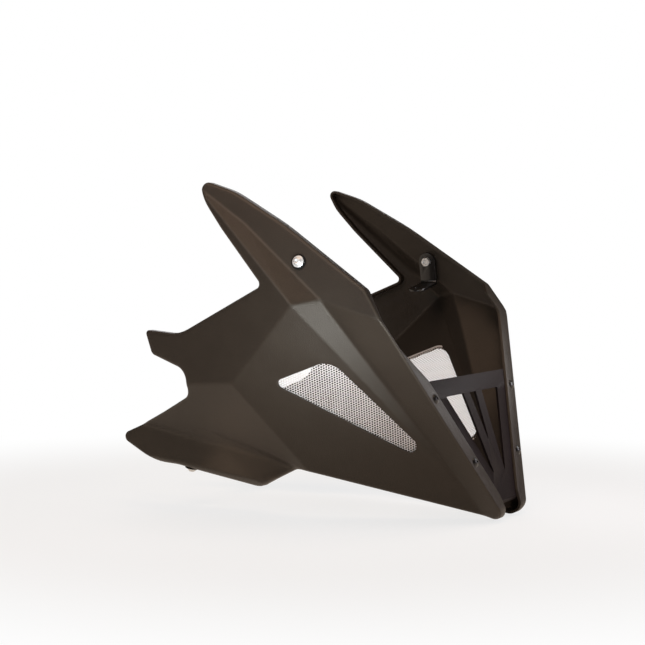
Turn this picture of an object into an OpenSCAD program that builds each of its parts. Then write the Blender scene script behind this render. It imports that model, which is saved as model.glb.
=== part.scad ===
// Motorcycle belly pan: two folded side shells, a slotted front plate between them, wire-look
// vent inserts, and the screws, rubbers and brackets that fix it under an engine.
// +X is the riding direction, +Z is up, and the right-hand shell is on the -Y side.
// A skin point is written [x, half width, z]: how far forward, how far out and how high it lies.

/* [Moulding] */
// Wall of the side shells, measured across the bike
wall = 3; // [2.4:0.1:4]
// Depth of the turned-in lip round each shell
lip_depth = 12; // [8:0.5:16]
// Depth of the flange along the front edge
flange_depth = 26; // [24:0.5:30]
// Height at which the right flange has its full depth below the exhaust header
trim_low = 161; // [150:1:166]
// Height at which the trimmed right flange runs out
trim_high = 198; // [190:1:206]

/* [Front edge] */
// Forward position of the bend near the top of the front edge
bend_x = 154.5; // [148:0.1:158]
// Height of that bend
bend_z = 228.6; // [223:0.1:235]
// Half width of the pan at the bend
bend_half = 187; // [180:0.5:192]
// Lean of the front edge, its foot further forward
front_lean = 20.4; // [19:0.1:22]
// Height at which the front edge would meet the bottom edge if the toe weren't rounded
toe_z = -5.4; // [-8:0.1:-2]
// How far each side closes in, per millimetre down the front edge
front_taper = 0.622; // [0.6:0.002:0.64]

/* [Folds of the shell] */
// Fore end of the arm's top edge, as [x, half width beyond that at the bend, z]
top_corner_fold = [128.2, -6, 264.1];
// Rear tip of the arm
arm_tip_fold = [-87.3, -20, 378.6];
// Point where the arm's upper crease bows up, as [x, z]
arm_bow = [-19.8, 334.1];
// Fore end of the step under the arm
step_fore_fold = [81.7, -1, 250.1];
// Rear end of the step, the widest point of the pan
step_rear_fold = [55.2, 17, 244.1];
// Middle of the flank, where the wing turns under
flank_mid_fold = [-30.8, -5, 155.1];
// Rear end of the crease under the wing
wing_root = [-94.3, 151.1];
// Foot of the long crease, where step and vent panel meet
step_foot = [199.7, 28.1];
// Foot of the crease between the vent panel and the belly
belly_fore = [30.7, 48.1];

/* [Belly] */
// Upper crease of the sill, as [x, z] from the rear
sill_top = [[-259.3, 110.1], [-117.3, 98.1], [-37.3, 77.1]];
// Lower crease of the sill, as [x, half width beyond that at the bend, z]
sill_low_fold = [[-259.3, -99, 105.1], [-87.3, -81, 75.1], [-4.3, -84, 57.1]];
// Crease above the bottom bevel
bevel_top_fold = [[-259.3, -102, 63.1], [-124.3, -87, 47.6], [-47.3, -85, 37.1]];
// How much the bottom bevel closes in for each millimetre down
bevel_slope = 1.1; // [0.9:0.05:1.3]

/* [Vent] */
// Corners of the vent as [x, z, radius]
vent = [[12.2, 157.1, 5.5], [81.3, 183.7, 21], [180.3, 55, 8.8]];
// How far the insert reaches past the vent all round
insert_margin = 4.4; // [4:0.1:6]
// Thickness of the insert sheet
insert_thick = 1.2; // [0.8:0.1:2]
// Width of one opening of the insert
gap_w = 6.4; // [5:0.1:7]
// Height of one opening of the insert
gap_h = 4.4; // [3.4:0.1:5]
// Bar left between two openings
gap_bar = 2.4; // [2:0.1:4]

/* [Front plate] */
// Thickness of the plate
plate_thick = 2.5; // [2:0.1:4]
// Gap between the plate's side edge and the shell's outer face
plate_side = 6.5; // [6:0.1:8]
// Distance of the plate's top edge down the front edge
plate_top = 72; // [66:1:76]
// Distance of the plate's bottom edge down the front edge
plate_foot = 224; // [214:1:228]
// Depth of the turned-back lip at the foot
plate_lip = 9; // [6:0.5:14]
// Inner radius of that bend
plate_bend = 2; // [1:0.5:3]
// Distance of the openings' top edge down the front edge
slot_top = 92; // [86:1:96]
// Distance of a large opening's top corner from the plate's side edge
slot_rim = 45.3; // [38:0.1:52]
// Inner top corner of a large opening, from the middle
slot_inner = 27.5; // [22:0.5:32]
// Tip of a large opening: from the middle, and down the front edge
slot_large_tip = [16.2, 191.5];
// Half width of the middle opening at its top
slot_mid = 9.5; // [6:0.5:14]
// Tip of the middle opening down the front edge
slot_mid_tip = 156; // [125:1:165]

/* [Plate fasteners] */
// Screw positions down the front edge
plate_screws_at = [93, 171];
// Distance of a screw from the shell's outer face
screw_inset = 13.6; // [12:0.1:15]
// Thread diameter
plate_thread = 5; // [4:1:6]
// Head diameter
plate_head_d = 11.6; // [9.5:0.1:12.5]
// Head height
plate_head_h = 3.1; // [2.4:0.1:3.6]
// Width of the hexagon socket
plate_socket = 3.2; // [2.5:0.1:4]
// Washer diameter and thickness
plate_washer = [10.4, 1];
// Nut width across its flats and its height
plate_nut = [8, 4];
// Thread that stands past the nut
plate_spare = 1.6; // [1:0.1:4]

/* [Rubber mounted fasteners] */
// Screw of the arm as [x, z] on the shell
arm_screw_at = [51.7, 291.1];
// Screw in the bottom lip: how far forward, and how far in from the edge
rear_screw_at = [-143, 11];
// Thread diameter of both
mount_thread = 6; // [5:1:8]
// Head diameter
mount_head_d = 13.4; // [12:0.1:14.5]
// Head height above its flange
mount_head_h = 3.3; // [2.6:0.1:4]
// Thickness of the head's flange
mount_flange = 1.1; // [0.8:0.1:1.6]
// Width of the head's hexagon socket
mount_socket = 4; // [3:0.1:5]
// Diameter of the rubber's two rims
rubber_d = 17; // [15.5:0.1:18]
// Width of the tab in the bottom lip
tab_w = 22; // [20:0.5:26]
// Diameter of the rubber's waist in the shell
rubber_waist = 12; // [11.5:0.1:13]
// Thickness of each rubber rim
rubber_rim = 2; // [1.4:0.1:3]
// Wall of the steel sleeve inside the rubber
sleeve_wall = 1; // [0.8:0.1:1.4]
// Weld nut width across its flats and its height
mount_nut = [10, 5];
// Play between a thread or sleeve and what it passes through
fit_play = 0.2; // [0.1:0.05:0.3]

/* [Brackets] */
// Thickness of the bracket strip
strip = 3; // [2:0.5:4]
// Width of the bracket strip
strip_w = 22; // [20:0.5:26]
// Inner radius of a bracket's bend
strip_bend = 3; // [2:0.5:5]
// Length of the arm bracket's leg behind the shell, from the screw to the bend
arm_leg = 24; // [20:1:36]
// Length of its leg towards the engine
arm_foot = 40; // [34:1:50]
// Distance between the two holes of the flat rear bracket
rear_span = 38; // [32:1:44]
// Diameter of the free hole that takes the engine's own screw
bracket_hole = 8.4; // [6.4:0.1:9]

/* [Hidden] */

plastic = "#2b2827";
plate_grey = "#36312f";
black_steel = "#1b1b1c";
zinc = "#c4c6c8";
rubber = "#121212";
mesh_silver = "#c9c8c4";

// Facets in an arc, one for every so many degrees
arc_step = 12;
round_fn = 48;
small = 0.01;
far = 400;

// A plane through three skin points, as half width = p[0]*x + p[1]*z + p[2]
function plane(a, b, c) = let(
    ux = b[0] - a[0], uw = b[1] - a[1], uz = b[2] - a[2],
    vx = c[0] - a[0], vw = c[1] - a[1], vz = c[2] - a[2],
    det = ux*vz - uz*vx,
    kx = (uw*vz - uz*vw)/det, kz = (ux*vw - uw*vx)/det)
    [kx, kz, a[1] - kx*a[0] - kz*a[2]];
function half_at(p, x, z) = p[0]*x + p[1]*z + p[2];
function skin_at(p, at) = [at[0], half_at(p, at[0], at[1]), at[1]];
// The point k times as far from a as b is
function beyond(a, b, k) = a + (b - a)*k;

// Folds that move out and in with the bend
function fold(f) = [f[0], bend_half + f[1], f[2]];
top_corner = fold(top_corner_fold);
arm_tip = fold(arm_tip_fold);
step_fore = fold(step_fore_fold);
step_rear = fold(step_rear_fold);
flank_mid = fold(flank_mid_fold);
sill_low = [for (f = sill_low_fold) fold(f)];
bevel_top = [for (f = bevel_top_fold) fold(f)];

// Points along the front edge
front_dir = [sin(front_lean), -cos(front_lean)];
bend = [bend_x, bend_half, bend_z];
front_low_s = 207;
front_low = [bend_x + front_dir[0]*front_low_s, bend_half - front_taper*front_low_s,
    bend_z + front_dir[1]*front_low_s];

// The flat panels between the folds
front_panel = plane(step_fore, bend, front_low);
foot = skin_at(front_panel, step_foot);
vent_panel = plane(step_rear, flank_mid, foot);
wing_panel = plane(arm_tip, step_rear, flank_mid);
arm_panel = plane(arm_tip, top_corner, step_fore);
bow = skin_at(arm_panel, arm_bow);
root = skin_at(wing_panel, wing_root);
knee = skin_at(vent_panel, belly_fore);
belly_panel = plane(flank_mid, root, knee);

// Corners outside the outline, where the panels simply run on
rear_reach = -259;
wing_reach = 250;
low_reach = -23;
bevel_reach = 7;
wing_out = skin_at(wing_panel, [rear_reach, wing_reach]);
root_out = let(k = (rear_reach - flank_mid[0])/(root[0] - flank_mid[0])) beyond(flank_mid, root, k);
arm_out = skin_at(arm_panel, [arm_tip[0] + 10, arm_tip[2] + 28]);
corner_out = beyond(step_fore, top_corner, 1.5);
bend_out = beyond(step_fore, bend, 1.5);
front_out = skin_at(front_panel, [front_x(low_reach) + 21, low_reach]);
foot_out = let(
    dz = low_reach - foot[2],
    dx = -dz*(front_panel[1] - vent_panel[1])/(front_panel[0] - vent_panel[0]))
    skin_at(front_panel, [foot[0] + dx, low_reach]);
knee_out = skin_at(vent_panel, [belly_fore[0], bevel_reach]);
bevel_drop = [for (b = bevel_top) [b[0], b[1] - bevel_slope*(b[2] - bevel_reach), bevel_reach]];
sill_high = [for (s = sill_top) skin_at(belly_panel, s)];

// All skin points, and the panels as clockwise rounds of them seen from outside.
// Each round starts at the corner from which the whole panel can be seen.
skin = [arm_tip, arm_out, corner_out, bend_out, front_out, foot_out, knee_out,
    bevel_drop[2], bevel_drop[1], bevel_drop[0], bevel_top[0], sill_low[0], sill_high[0],
    root_out, wing_out,
    step_fore, bow, step_rear, flank_mid, foot, knee,
    sill_high[1], sill_high[2], sill_low[1], sill_low[2], bevel_top[1], bevel_top[2]];
rim_count = 15;
panels = [
    [16, 0, 1, 2, 15], [15, 2, 3], [19, 15, 3, 4, 5],
    [0, 16, 17], [16, 15, 17], [15, 19, 17],
    [20, 18, 17, 19, 5, 6], [0, 17, 18, 13, 14],
    [18, 20, 22, 21, 12, 13],
    [12, 21, 23, 11], [21, 22, 24, 23], [22, 20, 24],
    [11, 23, 25, 10], [23, 24, 26, 25], [24, 20, 26],
    [10, 25, 8, 9], [25, 26, 7, 8], [26, 20, 6, 7]];

// A sheet that follows the skin, between two depths below its outer face
module skin_sheet(from, to) {
    n = len(skin);
    polyhedron(
        points = concat([for (p = skin) [p[0], from - p[1], p[2]]],
            [for (p = skin) [p[0], to - p[1], p[2]]]),
        faces = concat(panels,
            [for (f = panels) [for (i = [len(f):-1:1]) f[i%len(f)] + n]],
            [for (i = [0:rim_count - 1]) let(j = (i + 1)%rim_count) [i, i + n, j + n, j]]),
        convexity = 10);
}

// Forward position of the front edge at a height
function front_x(z) = bend_x + (bend_z - z)*tan(front_lean);
// Straight bottom edge of the belly, rear end first
belly_edge = [[-158, 47.7], [-45.3, 27.1]];
// Side outline of a shell, clockwise seen from outside: [x, z, radius of the corner]
outline = [
    [-83.8, 384.6, 7], [-37.3, 369.6, 90], [28.7, 332.4, 300], [132.2, 261.6, 14],
    [bend_x, bend_z, 60], [front_x(toe_z), toe_z, 11.5], [27.3, 51.7, 120], [8.7, 53.8, 26],
    [belly_edge[1][0], belly_edge[1][1], 24], [belly_edge[0][0], belly_edge[0][1], 60],
    [-190, 48.9, 50], [-245.3, 78.1, 7], [-159.3, 113.6, 90],
    [-65.8, 154.6, 20], [-158.3, 183.1, 9], [-169.8, 211.1, 4], [-114.3, 207.6, 60],
    [11.7, 265.1, 5], [-48.3, 328.1, 120], [-73.3, 358.1, 60]];

function unit(v) = v/norm(v);
function flat(p) = [p[0], p[1]];
// Rounds one corner of a loop with an arc
function corner(a, b, c) = let(
    u = unit(flat(a) - flat(b)), v = unit(flat(c) - flat(b)),
    half = acos(u*v)/2, r = b[2],
    mid = flat(b) + unit(u + v)*r/sin(half),
    s = flat(b) + u*r/tan(half) - mid, e = flat(b) + v*r/tan(half) - mid,
    a0 = atan2(s[1], s[0]), raw = atan2(e[1], e[0]) - a0,
    turn = raw > 180 ? raw - 360 : raw < -180 ? raw + 360 : raw,
    n = ceil(abs(turn)/arc_step) + 1)
    [for (i = [0:n]) mid + r*[cos(a0 + turn*i/n), sin(a0 + turn*i/n)]];
function rounded(loop) = let(n = len(loop))
    [for (i = [0:n - 1]) each corner(loop[(i + n - 1)%n], loop[i], loop[(i + 1)%n])];
// Moves every edge of a clockwise loop inwards by d and keeps its arcs concentric
function inset(loop, d) = let(n = len(loop))
    [for (i = [0:n - 1]) let(
        a = flat(loop[(i + n - 1)%n]), b = flat(loop[i]), c = flat(loop[(i + 1)%n]),
        u = unit(b - a), v = unit(c - b),
        nu = [u[1], -u[0]], nv = [v[1], -v[0]],
        p = b + (nu + nv)*d/(1 + nu*nv),
        bulge = u[0]*v[1] - u[1]*v[0] < 0 ? 1 : -1)
        [p[0], p[1], max(loop[i][2] - bulge*d, 0.6)]];

// A loop in the side view carried right across one half of the pan
module across(points) {
    rotate([90, 0, 0]) linear_extrude(height = far) polygon(points);
}

// Puts children on the skin, their +Z pointing squarely out of panel p at [x, z]
module on_panel(p, at) {
    y_out = -unit([p[0], 1, p[1]]);
    x_dir = unit([1, -p[0], 0]);
    z_dir = cross(y_out, x_dir);
    multmatrix([
        [x_dir[0], z_dir[0], y_out[0], at[0]],
        [x_dir[1], z_dir[1], y_out[1], -half_at(p, at[0], at[1])],
        [x_dir[2], z_dir[2], y_out[2], at[1]],
        [0, 0, 0, 1]]) children();
}

// Puts children on the front edge: +X squarely out of the flange, -Z down along the edge
module on_front() {
    translate([bend_x, 0, bend_z]) rotate([0, -front_lean, 0]) children();
}
function front_half(s) = bend_half - front_taper*s;
// How far the shell's side closes in for each millimetre squarely behind the flange
front_run = front_panel[0]*cos(front_lean) + front_panel[1]*sin(front_lean);
function side_sign(side) = side == "right" ? -1 : 1;
// Screws of the plate, down the front edge
module at_plate_screw(side, i) {
    s = plate_screws_at[i];
    on_front() translate([0, side_sign(side)*(front_half(s) - screw_inset), -s])
        rotate([0, 90, 0]) children();
}

bevel_panel = plane(bevel_top[1], bevel_top[2], bevel_drop[1]);
// The straight bottom edge that carries the rear screw, falling towards the front
edge_fall = atan2(belly_edge[0][1] - belly_edge[1][1], belly_edge[1][0] - belly_edge[0][0]);
rear_screw_z = belly_edge[0][1] - (rear_screw_at[0] - belly_edge[0][0])*tan(edge_fall);
rear_screw_half = half_at(bevel_panel, rear_screw_at[0], rear_screw_z) - rear_screw_at[1];
module for_side(side) {
    if (side == "right") children();
    else mirror([0, 1, 0]) children();
}
module at_arm(side) {
    for_side(side) on_panel(arm_panel, arm_screw_at) children();
}
// At the bottom lip +Z points down out of the lip and -Y runs inboard
module at_rear(side) {
    for_side(side) translate([rear_screw_at[0], -rear_screw_half, rear_screw_z])
        rotate([0, edge_fall, 0]) rotate([180, 0, 0]) children();
}

// Wall of the shell measured squarely through a panel
function square_wall(p) = wall/norm([p[0], 1, p[1]]);
arm_wall = square_wall(arm_panel);

// Side-view zones of the front edge: beside the trim, and below it
trim_top = 259;
foot_back = front_x(trim_low) - 20;
trim_zone = [[foot_back, trim_low], [bend_x - 40, trim_top], [bend_x + 60, trim_top],
    [bend_x + 90, trim_low]];
foot_zone = [[foot_back, trim_low], [300, trim_low], [300, -40], [209, -40], [208, 9]];
function front_half_z(z) = half_at(front_panel, front_x(z), z);

// Band along the outline, as deep as the children's sheet
module rim_band() {
    intersection() {
        difference() {
            across(rounded(outline));
            translate([0, small, 0]) across(rounded(inset(outline, wall)));
        }
        children();
    }
}
module right_hand_skin(trimmed) {
    intersection() {
        across(rounded(outline));
        skin_sheet(0, wall);
    }
    rim_band() difference() {
        skin_sheet(0, lip_depth);
        if (trimmed) across(trim_zone);
    }
    rim_band() intersection() {
        skin_sheet(0, flange_depth);
        across(foot_zone);
    }
    rim_band() intersection() {
        skin_sheet(0, flange_depth);
        across(trim_zone);
        if (trimmed) trim_keep();
    }
}
// Keeps the trimmed flange: nothing beside the header, the full depth below it
module trim_keep() {
    corner_half = top_corner[1];
    rotate([90, 0, 90]) linear_extrude(height = far) polygon([
        [-far, trim_low - small], [flange_depth - front_half_z(trim_low), trim_low - small],
        [wall + 1 - front_half_z(trim_high), trim_high], [wall + 1 - bend_half, bend_z],
        [lip_depth - corner_half, trim_top + small], [-far, trim_top + small]]);
}

// Tab that widens the bottom lip for the rear rubber
module rear_tab() {
    at_rear("right") translate([0, 0, -wall]) linear_extrude(height = wall) union() {
        circle(d = tab_w, $fn = round_fn);
        translate([-tab_w/2, 0]) square([tab_w, rear_screw_at[1] - wall/2]);
    }
}

module shell(trimmed) {
    difference() {
        union() {
            right_hand_skin(trimmed);
            rear_tab();
        }
        across(rounded(vent));
        on_panel(arm_panel, arm_screw_at) translate([0, 0, -2*wall])
            cylinder(d = rubber_waist, h = 4*wall, $fn = round_fn);
        at_rear("right") translate([0, 0, -2*wall])
            cylinder(d = rubber_waist, h = 4*wall, $fn = round_fn);
        for (i = [0, 1]) at_plate_screw("right", i) translate([0, 0, -2*wall])
            cylinder(d = plate_thread + 2*fit_play, h = 4*wall, $fn = round_fn);
    }
}

module right_shell() {
    color(plastic) shell(true);
}
module left_shell() {
    color(plastic) mirror([0, 1, 0]) shell(false);
}

// Openings of the insert: long hexagons in staggered rows, kept inside the vent's edge
module vent_gaps() {
    pitch_x = gap_w + gap_bar;
    pitch_z = gap_h + gap_bar;
    slope = atan2(vent[2][1] - vent[0][1], vent[2][0] - vent[0][0]);
    edge = rounded(inset(vent, gap_w/2));
    middle = (vent[0] + vent[1] + vent[2])/3;
    for (row = [-12:12], col = [-14:14]) {
        shift = row%2 == 0 ? 0 : pitch_x/2;
        c = flat(middle) + (col*pitch_x + shift)*[cos(slope), sin(slope)]
            + row*pitch_z*[-sin(slope), cos(slope)];
        if (inside(c, edge)) translate(c) rotate(slope)
            polygon([[gap_w/2, 0], [gap_w/4, -gap_h/2], [-gap_w/4, -gap_h/2],
                [-gap_w/2, 0], [-gap_w/4, gap_h/2], [gap_w/4, gap_h/2]]);
    }
}
// Whether a point is inside a loop, by counting the edges to its right
function inside(c, loop) = let(n = len(loop), hits = [for (i = [0:n - 1]) let(
        a = loop[i], b = loop[(i + 1)%n])
        if ((a[1] > c[1]) != (b[1] > c[1])
            && c[0] < a[0] + (b[0] - a[0])*(c[1] - a[1])/(b[1] - a[1])) 1])
    len(hits)%2 == 1;

// The insert lies flat on the back of the vent panel
module vent_mesh() {
    difference() {
        intersection() {
            across(rounded(inset(vent, -insert_margin)));
            panel_sheet(vent_panel, wall, wall + insert_thick);
        }
        rotate([90, 0, 0]) linear_extrude(height = far) vent_gaps();
    }
}
// A flat sheet parallel to one panel, between two depths
module panel_sheet(p, from, to) {
    box = [[0, 30], [0, 200], [200, 200], [200, 30]];
    polyhedron(
        points = concat([for (b = box) [b[0], from - half_at(p, b[0], b[1]), b[1]]],
            [for (b = box) [b[0], to - half_at(p, b[0], b[1]), b[1]]]),
        faces = [[0, 1, 2, 3], [7, 6, 5, 4], [0, 4, 5, 1], [1, 5, 6, 2], [2, 6, 7, 3], [3, 7, 4, 0]]);
}
module right_vent_mesh() {
    color(mesh_silver) vent_mesh();
}
module left_vent_mesh() {
    color(mesh_silver) mirror([0, 1, 0]) vent_mesh();
}

// Front plate, cut from sheet, its foot turned back round a bend
module front_plate() {
    top_half = front_half(plate_top) - plate_side;
    foot_half = front_half(plate_foot) - plate_side;
    r = plate_bend + plate_thick;
    bend_half_w = foot_half - front_run*r;
    lip_half_w = bend_half_w - front_run*plate_lip;
    color(plate_grey) on_front() translate([-wall - plate_thick, 0, 0]) difference() {
        union() {
            rotate([90, 0, 90]) linear_extrude(height = plate_thick)
                polygon(rounded([[-top_half, -plate_top, 4], [top_half, -plate_top, 4],
                    [foot_half + small, r - plate_foot, small], [-foot_half - small, r - plate_foot, small]]));
            translate([-plate_bend, 0, r - plate_foot]) rotate([90, 0, 0])
                foot_bend(r, 2*bend_half_w);
            translate([-plate_bend, 0, -plate_foot]) linear_extrude(height = plate_thick)
                polygon([[small, -bend_half_w], [small, bend_half_w],
                    [-plate_lip, lip_half_w], [-plate_lip, -lip_half_w]]);
        }
        rotate([90, 0, 90]) translate([0, 0, -1]) linear_extrude(height = plate_thick + 2) plate_slots();
        for (side = [-1, 1], s = plate_screws_at)
            translate([-1, side*(front_half(s) - screw_inset), -s]) rotate([0, 90, 0])
                cylinder(d = plate_thread + 2*fit_play, h = plate_thick + 2, $fn = round_fn);
    }
}
// Quarter bend of the plate's foot
module foot_bend(r, width) {
    translate([0, 0, -width/2]) linear_extrude(height = width) intersection() {
        difference() {
            circle(r = r, $fn = round_fn);
            circle(r = r - plate_thick, $fn = round_fn);
        }
        translate([0, -r]) square([r, r]);
    }
}
// The three tapered openings of the plate, seen from the front
module plate_slots() {
    corner_r = 1.2;
    for (side = [-1, 1]) {
        outer = front_half(slot_top) - plate_side - slot_rim;
        large = [[side*outer, -slot_top, corner_r], [side*slot_inner, -slot_top, corner_r],
            [side*slot_large_tip[0], -slot_large_tip[1], corner_r]];
        polygon(rounded(large));
    }
    polygon(rounded([[-slot_mid, -slot_top, corner_r], [slot_mid, -slot_top, corner_r],
        [0, -slot_mid_tip, corner_r]]));
}

// A low domed head with a hexagon socket, its underside at z = 0
module button_head(d, h, socket) {
    difference() {
        intersection() {
            cylinder(d = d, h = h, $fn = round_fn);
            dome_r = (d*d/4 + h*h)/(2*h);
            translate([0, 0, h - dome_r]) sphere(r = dome_r, $fn = round_fn);
        }
        translate([0, 0, h*0.35]) cylinder(d = socket/cos(30), h = h, $fn = 6);
    }
}
module hex_nut(size, bore) {
    difference() {
        intersection() {
            cylinder(d = size[0]/cos(30), h = size[1], $fn = 6);
            cylinder(d1 = size[0]*1.06 + size[1], d2 = size[0]*1.06, h = size[1], $fn = round_fn);
        }
        translate([0, 0, -1]) cylinder(d = bore, h = size[1] + 2, $fn = round_fn);
    }
}

plate_grip = wall + plate_thick + plate_washer[1] + plate_nut[1] + plate_spare;
module plate_screw(side, i) {
    color(black_steel) at_plate_screw(side, i) {
        button_head(plate_head_d, plate_head_h, plate_socket);
        translate([0, 0, -plate_grip]) cylinder(d = plate_thread, h = plate_grip + small, $fn = round_fn);
    }
}
module plate_washer_ring(side, i) {
    color(black_steel) at_plate_screw(side, i)
        translate([0, 0, -wall - plate_thick - plate_washer[1]]) difference() {
            cylinder(d = plate_washer[0], h = plate_washer[1], $fn = round_fn);
            translate([0, 0, -1])
                cylinder(d = plate_thread + 2*fit_play, h = plate_washer[1] + 2, $fn = round_fn);
        }
}
module plate_nut_hex(side, i) {
    color(black_steel) at_plate_screw(side, i)
        translate([0, 0, -wall - plate_thick - plate_washer[1]]) mirror([0, 0, 1])
            hex_nut(plate_nut, plate_thread);
}

// Rubber, sleeve, screw, nut and strip share one stack, its zero on the shell's outer face
function rubber_back(w) = w + rubber_rim;
sleeve_d = mount_thread + 2*fit_play + 2*sleeve_wall;
module rubber_bush(w) {
    color(rubber) rotate_extrude($fn = round_fn) polygon([
        [sleeve_d/2, rubber_rim], [rubber_d/2 - 0.6, rubber_rim], [rubber_d/2, rubber_rim - 0.6],
        [rubber_d/2, 0], [rubber_waist/2, 0], [rubber_waist/2, -w], [rubber_d/2, -w],
        [rubber_d/2, 0.6 - rubber_back(w)], [rubber_d/2 - 0.6, -rubber_back(w)],
        [sleeve_d/2, -rubber_back(w)]]);
}
module sleeve(w) {
    color(zinc) translate([0, 0, -rubber_back(w)]) difference() {
        cylinder(d = sleeve_d, h = rubber_back(w) + rubber_rim, $fn = round_fn);
        translate([0, 0, -1])
            cylinder(d = mount_thread + 2*fit_play, h = rubber_back(w) + rubber_rim + 2, $fn = round_fn);
    }
}
module mount_screw(w) {
    grip = rubber_back(w) + strip + mount_nut[1] + 1;
    color(zinc) {
        translate([0, 0, rubber_rim + mount_flange])
            button_head(mount_head_d - 3, mount_head_h, mount_socket);
        translate([0, 0, rubber_rim]) cylinder(d1 = mount_head_d, d2 = mount_head_d - 1.6,
            h = mount_flange + small, $fn = round_fn);
        translate([0, 0, -grip]) cylinder(d = mount_thread, h = grip + rubber_rim + small, $fn = round_fn);
    }
}
module weld_nut(w) {
    color(zinc) translate([0, 0, -rubber_back(w) - strip]) mirror([0, 0, 1])
        hex_nut(mount_nut, mount_thread);
}
// Folded steel strip: a leg behind the shell and a foot that turns towards the engine
module bracket(w, leg, foot_len) {
    r = strip_bend + strip;
    color(black_steel) translate([0, 0, -rubber_back(w)]) difference() {
        union() {
            translate([0, 0, -strip]) linear_extrude(height = strip) union() {
                circle(d = strip_w, $fn = round_fn);
                translate([-strip_w/2, -leg]) square([strip_w, leg]);
            }
            translate([-strip_w/2, -leg, -r]) rotate([90, 0, 90]) linear_extrude(height = strip_w)
                intersection() {
                    difference() {
                        circle(r = r, $fn = round_fn);
                        circle(r = strip_bend, $fn = round_fn);
                    }
                    translate([-r, 0]) square([r, r]);
                }
            translate([0, -leg - r, -r]) rotate([-90, 0, 0]) linear_extrude(height = strip) union() {
                translate([-strip_w/2, 0]) square([strip_w, foot_len - strip_w/2]);
                translate([0, foot_len - strip_w/2]) circle(d = strip_w, $fn = round_fn);
            }
        }
        translate([0, 0, -strip - 1])
            cylinder(d = mount_thread + 2*fit_play, h = strip + 2, $fn = round_fn);
        translate([0, -leg - r - 1, -r - foot_len + strip_w/2]) rotate([-90, 0, 0])
            cylinder(d = bracket_hole, h = strip + 2, $fn = round_fn);
    }
}
// Flat steel strip from the welded nut above the bottom lip to the engine's own screw
module strap(w, span) {
    color(black_steel) translate([0, 0, -rubber_back(w) - strip]) difference() {
        linear_extrude(height = strip) union() {
            circle(d = strip_w, $fn = round_fn);
            translate([-strip_w/2, -span]) square([strip_w, span]);
            translate([0, -span]) circle(d = strip_w, $fn = round_fn);
        }
        translate([0, 0, -1]) cylinder(d = mount_thread + 2*fit_play, h = strip + 2, $fn = round_fn);
        translate([0, -span, -1]) cylinder(d = bracket_hole, h = strip + 2, $fn = round_fn);
    }
}

right_shell();
left_shell();
front_plate();
right_vent_mesh();
left_vent_mesh();
plate_screw("right", 0);  // plate_screw_right_upper
plate_screw("right", 1);  // plate_screw_right_lower
plate_screw("left", 0);  // plate_screw_left_upper
plate_screw("left", 1);  // plate_screw_left_lower
plate_washer_ring("right", 0);  // plate_washer_right_upper
plate_washer_ring("right", 1);  // plate_washer_right_lower
plate_washer_ring("left", 0);  // plate_washer_left_upper
plate_washer_ring("left", 1);  // plate_washer_left_lower
plate_nut_hex("right", 0);  // plate_nut_right_upper
plate_nut_hex("right", 1);  // plate_nut_right_lower
plate_nut_hex("left", 0);  // plate_nut_left_upper
plate_nut_hex("left", 1);  // plate_nut_left_lower
at_arm("right") mount_screw(arm_wall);  // arm_screw_right
at_arm("left") mount_screw(arm_wall);  // arm_screw_left
at_arm("right") rubber_bush(arm_wall);  // arm_rubber_right
at_arm("left") rubber_bush(arm_wall);  // arm_rubber_left
at_arm("right") sleeve(arm_wall);  // arm_sleeve_right
at_arm("left") sleeve(arm_wall);  // arm_sleeve_left
at_arm("right") weld_nut(arm_wall);  // arm_nut_right
at_arm("left") weld_nut(arm_wall);  // arm_nut_left
at_arm("right") bracket(arm_wall, arm_leg, arm_foot);  // arm_bracket_right
at_arm("left") bracket(arm_wall, arm_leg, arm_foot);  // arm_bracket_left
at_rear("right") mount_screw(wall);  // rear_screw_right
at_rear("left") mount_screw(wall);  // rear_screw_left
at_rear("right") rubber_bush(wall);  // rear_rubber_right
at_rear("left") rubber_bush(wall);  // rear_rubber_left
at_rear("right") sleeve(wall);  // rear_sleeve_right
at_rear("left") sleeve(wall);  // rear_sleeve_left
at_rear("right") weld_nut(wall);  // rear_nut_right
at_rear("left") weld_nut(wall);  // rear_nut_left
at_rear("right") strap(wall, rear_span);  // rear_bracket_right
at_rear("left") strap(wall, rear_span);  // rear_bracket_left
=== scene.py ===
import math

import bmesh
import bpy
import numpy as np
from mathutils import Matrix, Vector, geometry


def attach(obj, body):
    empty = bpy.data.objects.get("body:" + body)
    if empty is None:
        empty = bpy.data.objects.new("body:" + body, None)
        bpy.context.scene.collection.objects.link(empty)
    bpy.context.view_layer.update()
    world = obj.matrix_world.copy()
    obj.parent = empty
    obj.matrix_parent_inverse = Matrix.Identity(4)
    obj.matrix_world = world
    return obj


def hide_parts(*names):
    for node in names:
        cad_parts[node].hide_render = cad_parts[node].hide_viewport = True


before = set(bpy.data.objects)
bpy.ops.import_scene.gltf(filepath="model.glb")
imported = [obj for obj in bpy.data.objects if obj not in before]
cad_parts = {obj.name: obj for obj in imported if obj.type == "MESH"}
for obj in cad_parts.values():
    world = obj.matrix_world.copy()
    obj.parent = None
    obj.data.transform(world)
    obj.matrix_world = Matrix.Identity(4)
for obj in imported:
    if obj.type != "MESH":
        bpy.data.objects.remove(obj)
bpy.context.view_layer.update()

MM = 0.001

# ---- Side shells ----
# Each side of the pan is one moulding of black ABS, folded into flat panels with soft creases.
# Its edge is rolled inwards all round, deepest along the front, where the plate is screwed on.
# The front flange of the right one is trimmed near its top.

# Skin points in millimetres as (forward, half width, height)
arm_tip = (-87.3, 167, 378.6)
top_corner = (128.2, 181, 264.1)
step_fore = (81.7, 186, 250.1)
step_rear = (55.2, 204, 244.1)
flank_mid = (-30.8, 182, 155.1)
bend = (154.5, 187, 228.6)
front_lean = math.radians(20.4)
front_taper = 0.622
wall = 3.0
lip_depth = 12.0
flange_depth = 26.0
toe_depth = 14.0


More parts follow.
